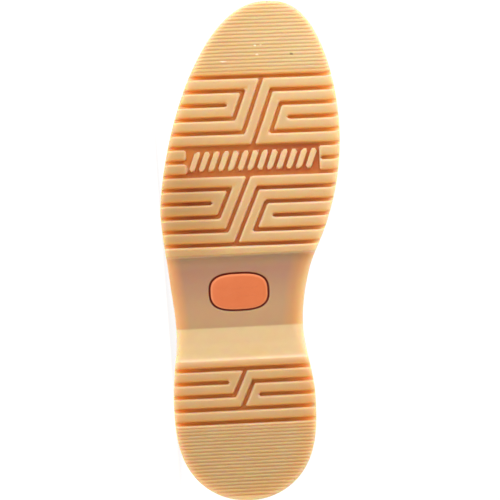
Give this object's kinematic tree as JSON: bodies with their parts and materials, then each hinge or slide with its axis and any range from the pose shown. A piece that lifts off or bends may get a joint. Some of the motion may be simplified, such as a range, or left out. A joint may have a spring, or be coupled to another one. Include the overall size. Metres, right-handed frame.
{
  "type": "work boot",
  "caption": "Right-foot pull-on work boot with a gum rubber unit sole, keyed cross-grooved tread, arch plug and plain leather shaft, lying on its outer side.",
  "frame": {"origin": "middle of the boot's bounding box on the floor it lies on", "axes": "+X from the toe to the heel, +Y from the tread up the shaft to the collar, +Z from the outer side, which lies on the floor, to the inner side"},
  "size_m": [0.3074, 0.2854, 0.1146],
  "materials": {
    "gum_rubber": "matt gum rubber, slightly translucent, amber in the grooves",
    "orange_rubber": "satin orange rubber",
    "oiled_leather": "brown oiled leather, low sheen",
    "insole_leather": "natural leather board, matt"
  },
  "bodies": {
    "root": {"outsole": "gum_rubber", "arch_plug": "orange_rubber", "upper": "oiled_leather", "insole": "insole_leather"}
  },
  "joints": []
}
